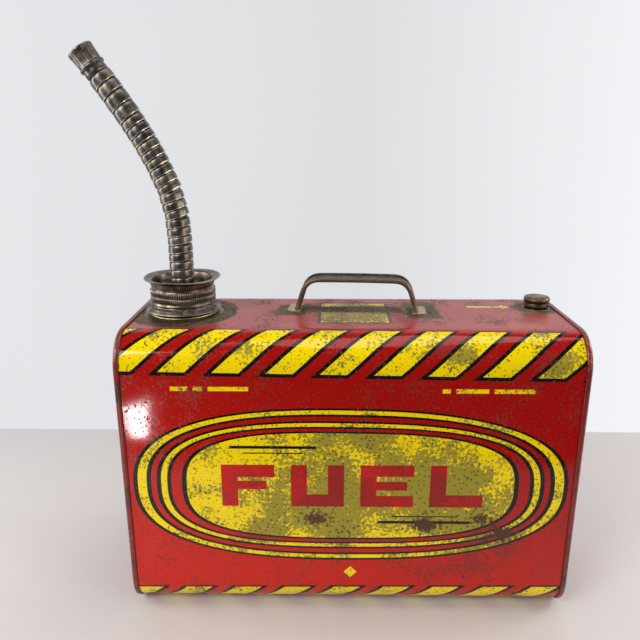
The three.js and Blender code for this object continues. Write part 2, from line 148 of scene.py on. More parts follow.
# Wrapped sheet: one length of tinplate, printed flat and then wrapped round all four sides, so the
# print runs over the bends. Its edges meet in a lock seam underneath, and the ends hold it in shape.
# Where the handle, filler and vent are soldered on, the print was left off or has burnt away.
HALF_DEPTH = 67.8
LOW, HIGH = 2.2, 232.8
BEND_R = 25.0
SHEET = 0.8
SHEET_END = 173.7
FILLER = (-136.0, 3.0)
FILLER_HOLE_R = 33.0
VENT = (158.3, 20.0)
VENT_HOLE_R = 7.3
BEND_STEPS = 14
FLAT_STEP = 5.0


def section(offset, steps, flat_step):
    """Points (y, z) round the can's section, from the low front bend up, offset from the sheet's face."""
    half, low, high = HALF_DEPTH + offset, LOW - offset, HIGH + offset
    r = max(BEND_R + offset, 1.0)
    front, rear, foot, top = r - half, half - r, low + r, high - r
    corners = [(front, top, 180), (rear, top, 90), (rear, foot, 0), (front, foot, -90)]
    flats = [HIGH - LOW - 2 * BEND_R, 2 * (HALF_DEPTH - BEND_R)]
    points = []
    for k, (cy, cz, start) in enumerate(corners):
        for i in range(steps + 1):
            a = math.radians(start - 90 * i / steps)
            points.append((cy + r * math.cos(a), cz + r * math.sin(a)))
        following = corners[(k + 1) % 4]
        a = math.radians(following[2])
        end = (following[0] + r * math.cos(a), following[1] + r * math.sin(a))
        count = max(1, round(flats[(k + 1) % 2] / flat_step))
        last = points[-1]
        for i in range(1, count):
            t = i / count
            points.append((last[0] + (end[0] - last[0]) * t, last[1] + (end[1] - last[1]) * t))
    return points


def run_of(y, z, side_y, side_z):
    """How far round the sheet a point is: its height on the front, carried on over the top. The last
    two numbers say which face the point is taken to be on, so that a face never spans the join."""
    quarter = BEND_R * math.pi / 2
    front_top = HIGH - BEND_R
    flat_y = HALF_DEPTH - BEND_R
    if side_z > front_top:
        if side_y < -flat_y:
            return front_top + BEND_R * math.atan2(z - front_top, -flat_y - y)
        if side_y <= flat_y:
            return front_top + quarter + y + flat_y
        return front_top + quarter + 2 * flat_y + BEND_R * math.atan2(y - flat_y, z - front_top)
    if side_z >= LOW + BEND_R:
        return z if side_y < 0 else front_top + 2 * quarter + 2 * flat_y + front_top - z
    if side_y < -flat_y:
        return LOW + BEND_R - BEND_R * math.atan2(LOW + BEND_R - z, -flat_y - y)
    if side_y <= flat_y:
        return LOW + BEND_R - quarter - (y + flat_y)
    low_rear = 2 * front_top + 2 * quarter + 2 * flat_y - LOW - BEND_R
    return low_rear + BEND_R * math.atan2(LOW + BEND_R - z, y - flat_y)


# Printed blocks with straight sides: x from and to, then height from and to, in millimetres round
# the sheet. Plain bars stand where the capacities and the small print were, and the plain word on
# the panel says only what the can holds.
RED, YELLOW, BLACK, ORANGE = 1, 2, 3, 4
blocks = []


def letter_strokes(letter, x, low, width, height, stroke):
    """A block letter's strokes, as boxes. The lying strokes are thinner, those of the E the thinnest."""
    high, end = low + height, x + width
    thin = stroke * (0.78 if letter == "E" else 0.86)
    upright, foot, top = (x, x + stroke, low, high), (x, end, low, low + thin), (x, end, high - thin, high)
    return {
        "F": [upright, top, (x, end - stroke * 0.5, low + height * 0.41, low + height * 0.62)],
        "U": [upright, (end - stroke, end, low, high), foot],
        "E": [upright, top, (x, end - stroke * 0.4, low + height * 0.4, low + height * 0.61), foot],
        "L": [upright, foot],
    }[letter]


WORD_LEFT, WORD_LOW, WORD_HEIGHT = -99.0, 96.5, 36.0
LETTER_WIDTH, LETTER_STEP, STROKE = 41.0, 53.5, 12.5
for i, letter in enumerate("FUEL"):
    left = WORD_LEFT + i * LETTER_STEP
    for stroke in letter_strokes(letter, left, WORD_LOW, LETTER_WIDTH, WORD_HEIGHT, STROKE):
        blocks.append((*stroke, RED))
# Rules above and below the word
blocks += [(-92, -26, 146.0, 148.4, BLACK), (-82, -36, 141.8, 142.8, BLACK)]
blocks += [(22, 94, 81.8, 84.2, BLACK), (32, 84, 87.6, 88.6, BLACK)]
# Capacity bars
for x0, x1 in [(-134, -121), (-117, -110), (-106, -76)]:
    blocks.append((x0, x1, 192.9, 196.3, YELLOW))
for x0, x1 in [(67, 73), (77, 101), (105, 135)]:
    blocks.append((x0, x1, 191.9, 195.3, YELLOW))
# Label on top, under the handle: yellow, in a dark frame, with rules
blocks += [(-25.6, 33.0, 260.9, 321.9, BLACK), (-23.0, 30.4, 263.5, 319.3, YELLOW)]
blocks += [(-18, 25, v, v + 0.8, BLACK) for v in (268.5, 272.0, 275.5, 279.0, 301.0, 305.5, 310.0, 314.5)]
# Arrow's shaft by the vent, and the small rules under it
blocks += [(98.5, 130.0, 306.5, 314.5, BLACK), (99.9, 130.0, 308.0, 313.0, YELLOW)]
blocks += [(119.5, 146.0, v, v + 1.1, ORANGE) for v in (250.5, 254.5, 258.5, 262.5)]

# Rows and columns follow the blocks' edges, so that each block is whole faces
columns = {-SHEET_END + i * FLAT_STEP for i in range(int(2 * SHEET_END / FLAT_STEP) + 1)} | {SHEET_END}
columns |= {edge for block in blocks for edge in block[:2]}
columns = sorted(columns)
columns = [x for i, x in enumerate(columns) if i == 0 or x - columns[i - 1] > 0.05]
rows = section(0, BEND_STEPS, FLAT_STEP)
block_edges = {edge for block in blocks for edge in block[2:4]}
flat_y = HALF_DEPTH - BEND_R
top_start = HIGH - BEND_R + BEND_R * math.pi / 2
for edge in block_edges:
    if edge < HIGH - BEND_R:
        rows.append((-HALF_DEPTH, edge))
    else:
        rows.append((edge - top_start - flat_y, HIGH))


def round_order(point):
    """Where a point comes round the section, from the middle of the rear face, for sorting."""
    return run_of(point[0], point[1], point[0], point[1])


rows = sorted(rows, key=round_order)
rows = [p for i, p in enumerate(rows) if i == 0 or round_order(p) - round_order(rows[i - 1]) > 0.05]


def faces_between(lines, per_line, closed=False, base=0):
    """Four-sided faces between neighbouring lines of points. Each line runs back to its own start, and
    the last line meets the first if closed. base is the number of the first point."""
    faces = []
    for i in range(lines if closed else lines - 1):
        here, beyond = base + i * per_line, base + (i + 1) % lines * per_line
        for j in range(per_line):
            following = (j + 1) % per_line
            faces.append((here + j, here + following, beyond + following, beyond + j))
    return faces


sheet_mesh = bpy.data.meshes.new("printed_sheet")
sheet_points = [(x * MM, y * MM, z * MM) for x in columns for y, z in rows]
sheet_mesh.from_pydata(sheet_points, [], faces_between(len(columns), len(rows)))
sheet = bpy.data.objects.new("printed_sheet", sheet_mesh)
bpy.context.scene.collection.objects.link(sheet)


def settle(obj):
    """Applies the object's modifiers to its mesh."""
    graph = bpy.context.evaluated_depsgraph_get()
    made = bpy.data.meshes.new_from_object(obj.evaluated_get(graph))
    obj.modifiers.clear()
    obj.data = made


thickness = sheet.modifiers.new("thickness", "SOLIDIFY")
thickness.thickness, thickness.offset = SHEET * MM, -1
settle(sheet)
for (hole_x, hole_y), hole_r in ((FILLER, FILLER_HOLE_R), (VENT, VENT_HOLE_R)):
    punch_mesh = bpy.data.meshes.new("punch")
    shape = bmesh.new()
    bmesh.ops.create_cone(
        shape,
        cap_ends=True,
        segments=96,
        radius1=hole_r * MM,
        radius2=hole_r * MM,
        depth=0.012,
        matrix=Matrix.Translation((hole_x * MM, hole_y * MM, HIGH * MM)),
    )
    shape.to_mesh(punch_mesh)
    shape.free()
    punch = bpy.data.objects.new("punch", punch_mesh)
    bpy.context.scene.collection.objects.link(punch)
    cut = sheet.modifiers.new("cut", "BOOLEAN")
    cut.object, cut.operation, cut.solver = punch, "DIFFERENCE", "EXACT"
    settle(sheet)
    bpy.data.objects.remove(punch)

# Each corner of each face keeps its place on the flat print, and each face its block. Wear is laid on
# the points: rust, bared metal and darkened varnish, where the can has been rubbed, soldered or wetted.
mesh = sheet.data
mesh.shade_smooth()
mesh.set_sharp_from_angle(angle=math.radians(35))
print_place = mesh.attributes.new("print_place", "FLOAT_VECTOR", "CORNER")
block_of = mesh.attributes.new("block", "FLOAT", "FACE")
places = [0.0] * (3 * len(mesh.loops))
marks = [0.0] * len(mesh.polygons)
for face in mesh.polygons:
    middle = face.center / MM
    runs = []
    for corner in face.loop_indices:
        x, y, z = mesh.vertices[mesh.loops[corner].vertex_index].co / MM
        runs.append(run_of(y, z, middle.y, middle.z))
        places[3 * corner : 3 * corner + 3] = (x, runs[-1], 0.0)
    run = sum(runs) / len(runs)
    for x0, x1, v0, v1, kind in blocks:
        if x0 < middle.x < x1 and v0 < run < v1:
            marks[face.index] = float(kind)
print_place.data.foreach_set("vector", places)
block_of.data.foreach_set("value", marks)

# Spots: place along and round the sheet, half-width, half-height, and how strong
TOP_FROM, TOP_TO = 244, 336
RUST_SPOTS = [
    (-27, 85, 15, 9, 0.9), (-2, 76, 9, 6, 0.8), (58, 80, 16, 9, 1.0), (105, 86, 14, 9, 1.0),
    (120, 74, 14, 10, 1.05), (108, 66, 8, 6, 0.95), (92, 33, 4, 6, 0.9), (-66, 175, 2, 24, 0.85),
]
DULL_SPOTS = [
    (-15, 100, 60, 40, 0.55), (60, 110, 60, 45, 0.5), (100, 80, 45, 40, 0.5), (-60, 75, 40, 16, 0.4),
    (0, 155, 60, 8, 0.45), (4, 292, 45, 30, 0.55), (-95, 224, 30, 9, 0.35), (60, 222, 45, 8, 0.35),
    (150, 215, 20, 14, 0.4),
]
wear = mesh.attributes.new("wear", "FLOAT_COLOR", "CORNER")
levels = []
for face in mesh.polygons:
    for corner in face.loop_indices:
        x, v = places[3 * corner], places[3 * corner + 1]
        on_top = 1.0 if TOP_FROM < v < TOP_TO else 0.0
        rust, dull = 0.0, 0.0
        for sx, sv, rx, rv, much in RUST_SPOTS:
            rust = max(rust, much * math.exp(-(((x - sx) / rx) ** 2) - ((v - sv) / rv) ** 2))
        for sx, sv, rx, rv, much in DULL_SPOTS:
            dull = max(dull, much * math.exp(-(((x - sx) / rx) ** 2) - ((v - sv) / rv) ** 2))
        y = v - top_start - flat_y
        from_filler = math.hypot(x - FILLER[0], y - FILLER[1])
        from_vent = math.hypot(x - VENT[0], y - VENT[1])
        left_tab = 1.5 - max(abs(x + 47) / 13, abs(y - 9) / 17)
        right_tab = 1.5 - max(abs(x - 60) / 14, abs(y - 8) / 24)
        # A band as wide as the handle's bar, lying under it, is bared to grey-brown tin as well.
        under_handle = 1.3 - max(abs(x - 4) / 56, abs(y - 12) / 12)
        round_filler, round_vent = 1.25 - abs(from_filler - 36) / 12, 1.3 - from_vent / 26
        bare = on_top * max(round_filler, round_vent, left_tab, right_tab, under_handle, 0.0)
        levels += [rust, min(1.0, max(0.0, bare)), dull, 1.0]
wear.data.foreach_set("color", levels)

# Lithographed tinplate: printing ink and stoving varnish rolled on before the sheet was bent. It is
# glossy, with faint waves that bend its reflections, dulled where the varnish has gone brown, and
# pricked with rust. The inks are flat colours, so their edges are hard.
STRIPE_LEAN = 1.10
STRIPE_LINES = (4.2, 4.0, 2.8, 1.6)
SKEW_PER_MM, SKEW_AT_FOOT, SKEW_LEAST, SKEW_MOST = 0.000156, -0.014588, -0.013, 0.0125
FRONT_FROM, FRONT_TO = 20.0, 205.0
DIAMOND_CENTRE, DIAMOND_REACH = (1.1, 37.0), 5.2
ARROW_UP, ARROW_NECK = 310.5, 129.0
OVAL_OUT, OVAL_OUT_POWER = (167.2, 65.6), 2.5
OVAL_IN, OVAL_IN_POWER = (125.9, 45.2), 2.95
OVAL_CENTRE = (0.0, 113.9)
BAND_COLOURS = [BLACK, RED, BLACK, YELLOW, BLACK, RED, BLACK, YELLOW, BLACK]
BANDS_ALONG = [3.6, 8.5, 3.0, 4.6, 3.3, 4.4, 3.6, 6.9, 3.4]
BANDS_UP = [1.6, 2.3, 1.5, 3.0, 1.6, 3.8, 1.9, 3.3, 1.8]

litho, tree, shader = finish_for("lithographed_tinplate", IOR=1.5, Specular_IOR_Level=0.38)
place = add(tree, "Attribute", attribute_name="print_place").outputs["Vector"]
split = add(tree, "SeparateXYZ", {0: place})
along, up = split.outputs[0], split.outputs[1]
mark = add(tree, "Attribute", attribute_name="block").outputs["Fac"]
worn = add(tree, "SeparateColor", {0: add(tree, "Attribute", attribute_name="wear").outputs["Color"]})
rusted, bared, dulled = worn.outputs[0], worn.outputs[1], worn.outputs[2]

# The print is a little out of square on the sheet, more towards the top
skew = add(tree, "Math", {0: up, 1: SKEW_PER_MM, 2: SKEW_AT_FOOT}, operation="MULTIPLY_ADD")
skew = add(tree, "Math", {0: skew.outputs[0], 1: SKEW_MOST}, operation="MINIMUM")
skew = add(tree, "Math", {0: skew.outputs[0], 1: SKEW_LEAST}, operation="MAXIMUM")
level = add(tree, "Math", {0: along, 1: skew.outputs[0], 2: up}, operation="MULTIPLY_ADD").outputs[0]


def stripes(level, base, height, start, step, width):
    """Slanted bars over a band of the print: 1 on the bars, and 1 on the bars with their black line."""
    lean = add(tree, "Math", {0: level, 1: base}, operation="SUBTRACT").outputs[0]
    shift = add(tree, "Math", {0: lean, 1: -STRIPE_LEAN, 2: along}, operation="MULTIPLY_ADD").outputs[0]
    results = []
    for left, right, below, above in ((0.0, 0.0, 0.0, 0.0), STRIPE_LINES):
        moved = add(tree, "Math", {0: shift, 1: start - left}, operation="SUBTRACT").outputs[0]
        turn = add(tree, "Math", {0: moved, 1: step, 2: 0.0}, operation="WRAP")
        bar = left + width + right
        across = add(tree, "Math", {0: turn.outputs[0], 1: bar}, operation="LESS_THAN").outputs[0]
        over = add(tree, "Math", {0: lean, 1: -below}, operation="GREATER_THAN").outputs[0]
        under = add(tree, "Math", {0: lean, 1: height + above}, operation="LESS_THAN").outputs[0]
        both = add(tree, "Math", {0: over, 1: under}, operation="MULTIPLY").outputs[0]
        results.append(add(tree, "Math", {0: both, 1: across}, operation="MULTIPLY").outputs[0])
    return results


top_bars, top_lines = stripes(level, base=206.0, height=36.8, start=-142.4, step=39.7, width=19.8)
low_bars, low_lines = stripes(level, base=-13.0, height=35.3, start=-210.2, step=39.9, width=21.0)

# The oval: two rounded ovals, one inside the other, and how far a point lies between them
parts = []
for (half_along, half_up), power in ((OVAL_IN, OVAL_IN_POWER), (OVAL_OUT, OVAL_OUT_POWER)):
    terms = []
    for value, middle, half in ((along, OVAL_CENTRE[0], half_along), (level, OVAL_CENTRE[1], half_up)):
        away = add(tree, "Math", {0: value, 1: middle}, operation="SUBTRACT")
        share = add(tree, "Math", {0: away.outputs[0], 1: half}, operation="DIVIDE")
        size = add(tree, "Math", {0: share.outputs[0]}, operation="ABSOLUTE")
        terms.append(add(tree, "Math", {0: size.outputs[0], 1: power}, operation="POWER").outputs[0])
    total = add(tree, "Math", {0: terms[0], 1: terms[1]}, operation="ADD").outputs[0]
    parts.append((terms, total, add(tree, "Math", {0: total, 1: 1 / power}, operation="POWER").outputs[0]))
beyond = add(tree, "Math", {0: parts[0][2], 1: 1.0}, operation="SUBTRACT").outputs[0]
within = add(tree, "Math", {0: 1.0, 1: parts[1][2]}, operation="SUBTRACT").outputs[0]
whole = add(tree, "Math", {0: beyond, 1: within}, operation="ADD").outputs[0]
between = add(tree, "Math", {0: beyond, 1: whole}, operation="DIVIDE").outputs[0]
upright = add(tree, "Math", {0: parts[1][0][1], 1: parts[1][1]}, operation="DIVIDE").outputs[0]


def band_edges(widths, inner, outer):
    """Where each band's outer edge falls between the two ovals, from 0 to 1."""
    total, reach, edges = sum(widths), 0.0, []
    for width in widths:
        reach += width / total
        edges.append(reach / (reach + (1 - reach) * inner / outer))
    return edges


edges_along = band_edges(BANDS_ALONG, OVAL_IN[0], OVAL_OUT[0])
edges_up = band_edges(BANDS_UP, OVAL_IN[1], OVAL_OUT[1])
bend = add(tree, "FloatCurve", {0: upright, 1: between})
curve = bend.mapping.curves[0]
curve.points[0].location, curve.points[1].location = (0, 0), (1, 1)
for flat_edge, end_edge in zip(edges_up[:-1], edges_along[:-1]):
    curve.points.new(flat_edge, end_edge)
for point in curve.points:
    point.handle_type = "VECTOR"
bend.mapping.update()
ramp = add(tree, "ValToRGB", {0: bend.outputs[0]})
ramp.color_ramp.interpolation = "CONSTANT"
INK = {RED: (0, 0, 0, 1), YELLOW: (1, 0, 0, 1), BLACK: (0, 1, 0, 1)}
ramp.color_ramp.elements[0].color = INK[BAND_COLOURS[0]]
ramp.color_ramp.elements[1].position = edges_along[0]
ramp.color_ramp.elements[1].color = INK[BAND_COLOURS[1]]
for edge, band in zip(edges_along[1:-1], BAND_COLOURS[2:]):
    ramp.color_ramp.elements.new(edge).color = INK[band]
banded = add(tree, "SeparateColor", {0: ramp.outputs["Color"]})
on_front = add(tree, "Math", {0: up, 1: FRONT_TO}, operation="LESS_THAN").outputs[0]
off_rear = add(tree, "Math", {0: up, 1: FRONT_FROM}, operation="GREATER_THAN").outputs[0]
front = add(tree, "Math", {0: on_front, 1: off_rear}, operation="MULTIPLY").outputs[0]
in_field = add(tree, "Math", {0: parts[0][2], 1: 1.0}, operation="LESS_THAN").outputs[0]
in_field = add(tree, "Math", {0: in_field, 1: front}, operation="MULTIPLY").outputs[0]
in_oval = add(tree, "Math", {0: parts[1][2], 1: 1.0}, operation="LESS_THAN").outputs[0]
in_oval = add(tree, "Math", {0: in_oval, 1: front}, operation="MULTIPLY").outputs[0]
in_bands = add(tree, "Math", {0: in_oval, 1: in_field}, operation="SUBTRACT").outputs[0]
band_yellow = add(tree, "Math", {0: banded.outputs[0], 1: in_bands}, operation="MULTIPLY").outputs[0]
band_black = add(tree, "Math", {0: banded.outputs[1], 1: in_bands}, operation="MULTIPLY").outputs[0]

# The small diamond under the oval, and the arrow's head, first in yellow and then in its black line
diamond = []
for value, middle in zip((along, up), DIAMOND_CENTRE):
    away = add(tree, "Math", {0: value, 1: middle}, operation="SUBTRACT")
    diamond.append(add(tree, "Math", {0: away.outputs[0]}, operation="ABSOLUTE").outputs[0])
diamond = add(tree, "Math", {0: diamond[0], 1: diamond[1]}, operation="ADD")
diamond = add(tree, "Math", {0: diamond.outputs[0], 1: DIAMOND_REACH}, operation="LESS_THAN").outputs[0]
heads = []
for tip, spread in ((137.8, 0.75), (140.2, 0.8)):
    left = add(tree, "Math", {0: tip, 1: along}, operation="SUBTRACT").outputs[0]
    wide = add(tree, "Math", {0: left, 1: spread}, operation="MULTIPLY").outputs[0]
    off = add(tree, "Math", {0: up, 1: ARROW_UP}, operation="SUBTRACT").outputs[0]
    off = add(tree, "Math", {0: off}, operation="ABSOLUTE").outputs[0]
    inside = add(tree, "Math", {0: off, 1: wide}, operation="LESS_THAN").outputs[0]
    started = add(tree, "Math", {0: along, 1: ARROW_NECK}, operation="GREATER_THAN").outputs[0]
    heads.append(add(tree, "Math", {0: inside, 1: started}, operation="MULTIPLY").outputs[0])

is_block = {}
for kind in (RED, YELLOW, BLACK, ORANGE):
    is_block[kind] = add(tree, "Math", {0: mark, 1: float(kind), 2: 0.3}, operation="COMPARE").outputs[0]


def any_of(*masks):
    """One mask from several."""
    total = masks[0]
    for mask in masks[1:]:
        total = add(tree, "Math", {0: total, 1: mask}, operation="MAXIMUM").outputs[0]
    return total


yellow_ink = any_of(top_bars, low_bars, band_yellow, in_field, diamond)
black_ink = any_of(top_lines, low_lines, band_black)

# Each ink as it has aged: blotches some 12 mm across, broken by 2 mm flecks
ages = []
for size_mm, detail, roughness in ((26, 5.0, 0.62), (2.6, 3.0, 0.65), (1.1, 2.0, 0.5)):
    feeds = {"Vector": place, "Scale": 1 / size_mm, "Detail": detail, "Roughness": roughness}
    ages.append(add(tree, "TexNoise", feeds, noise_dimensions="2D").outputs["Fac"])
blotch, fleck, grain = ages
mottle = add(tree, "Math", {0: blotch, 1: 0.5}, operation="MULTIPLY").outputs[0]
mottle = add(tree, "Math", {0: fleck, 1: 0.5, 2: mottle}, operation="MULTIPLY_ADD").outputs[0]
aged = add(tree, "Math", {0: dulled, 1: 0.42, 2: mottle}, operation="MULTIPLY_ADD").outputs[0]
khaki = add(tree, "MapRange", {0: aged, 1: 0.555, 2: 0.60}).outputs[0]

yellow = add(tree, "Mix", {0: khaki, 6: linear("#FFE000"), 7: linear("#A0922C")}, data_type="RGBA").outputs[2]
# Painted shade: the red is darker towards the top of the front and to the right, and lighter low at the left,
# where more light falls on it.
red_painted_shade = add(tree, "Math", {0: along, 1: 0.35, 2: up}, operation="MULTIPLY_ADD").outputs[0]
red_painted_shade = add(tree, "MapRange", {0: red_painted_shade, 1: 20.0, 2: 190.0}).outputs[0]
red = add(tree, "Mix", {0: red_painted_shade, 6: linear("#CE1F10"), 7: linear("#A80C07")}, data_type="RGBA").outputs[2]
red_age = add(tree, "MapRange", {0: aged, 1: 0.56, 2: 0.70, 3: 0.0, 4: 0.75}).outputs[0]
red = add(tree, "Mix", {0: red_age, 6: red, 7: linear("#8C2B26")}, data_type="RGBA").outputs[2]
black = add(tree, "Mix", {0: fleck, 6: linear("#0B0908"), 7: linear("#1C1614")}, data_type="RGBA").outputs[2]
inks = add(tree, "Mix", {0: black_ink, 6: red, 7: black}, data_type="RGBA").outputs[2]
inks = add(tree, "Mix", {0: yellow_ink, 6: inks, 7: yellow}, data_type="RGBA").outputs[2]
laid_over = [(heads[1], black), (is_block[BLACK], black), (is_block[YELLOW], yellow), (heads[0], yellow)]
for mask, ink in laid_over:
    inks = add(tree, "Mix", {0: mask, 6: inks, 7: ink}, data_type="RGBA").outputs[2]
word_red = add(tree, "Mix", {0: red_age, 6: linear("#C60F0E"), 7: linear("#8A1A14")}, data_type="RGBA")
inks = add(tree, "Mix", {0: is_block[RED], 6: inks, 7: word_red.outputs[2]}, data_type="RGBA").outputs[2]
inks = add(tree, "Mix", {0: is_block[ORANGE], 6: inks, 7: linear("#D8622A")}, data_type="RGBA").outputs[2]

# Pepper: rust has come through the print in pinpricks 0.5 to 2 mm across
prick = add(tree, "TexVoronoi", {"Vector": place, "Scale": 1 / 4.2}, voronoi_dimensions="2D")
prick_size = add(tree, "MapRange", {0: mottle, 1: 0.42, 2: 0.64, 3: 0.06, 4: 0.27}).outputs[0]
prick_size = add(tree, "Math", {0: rusted, 1: 0.22, 2: prick_size}, operation="MULTIPLY_ADD").outputs[0]
pepper = add(tree, "Math", {0: prick.outputs["Distance"], 1: prick_size}, operation="LESS_THAN").outputs[0]
pepper = add(tree, "Math", {0: pepper, 1: 0.72}, operation="MULTIPLY").outputs[0]
inks = add(tree, "Mix", {0: pepper, 6: inks, 7: linear("#4A3A22")}, data_type="RGBA").outputs[2]

# Rust patches, bared tinplate, and on top faded varnish with a painted sheen
rusting = add(tree, "Math", {0: rusted, 1: 0.5, 2: mottle}, operation="MULTIPLY_ADD").outputs[0]
rust_mask = add(tree, "MapRange", {0: rusting, 1: 0.82, 2: 0.92}).outputs[0]
rust = add(tree, "Mix", {0: grain, 6: linear("#3A2018"), 7: linear("#6A4630")}, data_type="RGBA").outputs[2]
on_top = add(tree, "MapRange", {0: up, 1: 236.0, 2: 262.0}).outputs[0]
rear = add(tree, "MapRange", {0: up, 1: 336.0, 2: 350.0, 3: 1.0, 4: 0.25}).outputs[0]
on_top = add(tree, "Math", {0: on_top, 1: rear}, operation="MULTIPLY").outputs[0]
# Faded varnish and a painted sheen: the top face is painted paler and pinker in blotches, where it faces the
# light.
faded_and_sheen = add(tree, "Math", {0: mottle, 1: on_top}, operation="MULTIPLY").outputs[0]
faded_and_sheen = add(tree, "Math", {0: faded_and_sheen, 1: 0.5}, operation="MULTIPLY").outputs[0]
inks = add(tree, "Mix", {0: faded_and_sheen, 6: inks, 7: linear("#A88078")}, data_type="RGBA").outputs[2]
scuff = add(tree, "MapRange", {0: mottle, 1: 0.53, 2: 0.62}).outputs[0]
scuff = add(tree, "Math", {0: scuff, 1: on_top}, operation="MULTIPLY").outputs[0]
scuff = add(tree, "Math", {0: scuff, 1: 0.7}, operation="MULTIPLY").outputs[0]
inks = add(tree, "Mix", {0: scuff, 6: inks, 7: linear("#5E3A32")}, data_type="RGBA").outputs[2]
baring = add(tree, "Math", {0: mottle, 1: 1.8, 2: bared}, operation="MULTIPLY_ADD").outputs[0]
bare_mask = add(tree, "MapRange", {0: baring, 1: 1.36, 2: 1.46}).outputs[0]
tarnish = add(tree, "MapRange", {0: mottle, 1: 0.42, 2: 0.58}).outputs[0]
tin = add(tree, "Mix", {0: tarnish, 6: linear("#463A2D"), 7: linear("#86775C")}, data_type="RGBA").outputs[2]
inks = add(tree, "Mix", {0: bare_mask, 6: inks, 7: tin}, data_type="RGBA").outputs[2]
inks = add(tree, "Mix", {0: rust_mask, 6: inks, 7: rust}, data_type="RGBA").outputs[2]
tree.links.new(inks, shader.inputs["Base Color"])
gone = add(tree, "Math", {0: rust_mask, 1: pepper}, operation="MAXIMUM").outputs[0]
matt = add(tree, "Math", {0: gone, 1: bare_mask}, operation="MAXIMUM").outputs[0]
rough = add(tree, "Math", {0: khaki, 1: 0.2, 2: 0.095}, operation="MULTIPLY_ADD").outputs[0]
rough = add(tree, "Math", {0: matt, 1: 0.28, 2: rough}, operation="MULTIPLY_ADD").outputs[0]
rough = add(tree, "Math", {0: on_top, 1: 0.22, 2: rough}, operation="MULTIPLY_ADD").outputs[0]
tree.links.new(rough, shader.inputs["Roughness"])
metal = add(tree, "Math", {0: bare_mask, 1: 0.7}, operation="MULTIPLY").outputs[0]
tree.links.new(metal, shader.inputs["Metallic"])
wave = add(tree, "TexNoise", {"Vector": place, "Scale": 1 / 70, "Detail": 1.0}, noise_dimensions="2D")
waves = add(tree, "Bump", {"Strength": 0.35, "Distance": 0.004, "Height": wave.outputs["Fac"]})
pits = add(tree, "Math", {0: gone, 1: -1.0}, operation="MULTIPLY").outputs[0]
pitted = add(tree, "Bump", {"Strength": 0.3, "Distance": 0.0002, "Height": pits, "Normal": waves.outputs[0]})
tree.links.new(pitted.outputs[0], shader.inputs["Normal"])
sheet.data.materials.clear()
sheet.data.materials.append(litho)
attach(sheet, "tank")
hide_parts("body_sheet")

# End panels: each is one pressed plate, sunk 6 mm behind a rim where its edge is rolled together with
# the sheet's. The plate has a shallow raised panel to stiffen it. Red-brown enamel, rubbed to bare
# metal along the roll and chipped on its corners.
RIM_OUT = 2.2
ROLL_R = 2.2
PANEL_EDGE = -2.0
PANEL_SUNK = 6.0
PANEL_RISE = 1.2
PANEL_BORDER = 15.0
HALF_LENGTH = 175.0

enamel, tree, shader = finish_for("stoved_enamel_on_rim", Coat_Weight=0.25, Coat_Roughness=0.25)
place = add(tree, "TexCoord").outputs["Object"]
feeds = {"Vector": place, "Scale": 1000 / 22, "Detail": 6.0, "Roughness": 0.65}
blotch = add(tree, "TexNoise", feeds).outputs["Fac"]
fleck = add(tree, "TexNoise", {"Vector": place, "Scale": 1000 / 3.0, "Detail": 3.0}).outputs["Fac"]
paint = add(tree, "Mix", {0: blotch, 6: linear("#98231C"), 7: linear("#661C17")}, data_type="RGBA").outputs[2]
browned = add(tree, "MapRange", {0: blotch, 1: 0.52, 2: 0.62}).outputs[0]
paint = add(tree, "Mix", {0: browned, 6: paint, 7: linear("#4A241D")}, data_type="RGBA").outputs[2]
edge = add(tree, "NewGeometry").outputs["Pointiness"]
rubbed = add(tree, "Math", {0: fleck, 1: 0.10, 2: edge}, operation="MULTIPLY_ADD").outputs[0]
rubbed = add(tree, "MapRange", {0: rubbed, 1: 0.585, 2: 0.61}).outputs[0]
chips = add(tree, "MapRange", {0: fleck, 1: 0.68, 2: 0.72}).outputs[0]
chips = add(tree, "Math", {0: rubbed, 1: chips}, operation="MAXIMUM").outputs[0]
bare = add(tree, "Mix", {0: fleck, 6: linear("#4A382C"), 7: linear("#A89680")}, data_type="RGBA").outputs[2]
colour = add(tree, "Mix", {0: chips, 6: paint, 7: bare}, data_type="RGBA").outputs[2]
tree.links.new(colour, shader.inputs["Base Color"])
metal = add(tree, "Math", {0: chips, 1: 0.8}, operation="MULTIPLY").outputs[0]
tree.links.new(metal, shader.inputs["Metallic"])
rough = add(tree, "Math", {0: blotch, 1: 0.25, 2: 0.22}, operation="MULTIPLY_ADD").outputs[0]
tree.links.new(rough, shader.inputs["Roughness"])
dents = add(tree, "Bump", {"Strength": 0.25, "Distance": 0.0006, "Height": blotch})
tree.links.new(dents.outputs[0], shader.inputs["Normal"])


def piece_from(name, points, faces, finish, body, slot_name, stands_for=(), sharp=32):
    """A smooth-shaded mesh piece in millimetres, riding on a body, if any, and standing for CAD nodes."""
    made = bpy.data.meshes.new(name)
    made.from_pydata([(x * MM, y * MM, z * MM) for x, y, z in points], [], faces)
    shape = bmesh.new()
    shape.from_mesh(made)
    bmesh.ops.recalc_face_normals(shape, faces=shape.faces)
    shape.to_mesh(made)
    shape.free()
    made.shade_smooth()
    made.set_sharp_from_angle(angle=math.radians(sharp))
    made.materials.append(finish)
    obj = bpy.data.objects.new(name, made)
    bpy.context.scene.collection.objects.link(obj)
    if body:
        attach(obj, body)
    if stands_for:
        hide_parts(*stands_for)
    return obj


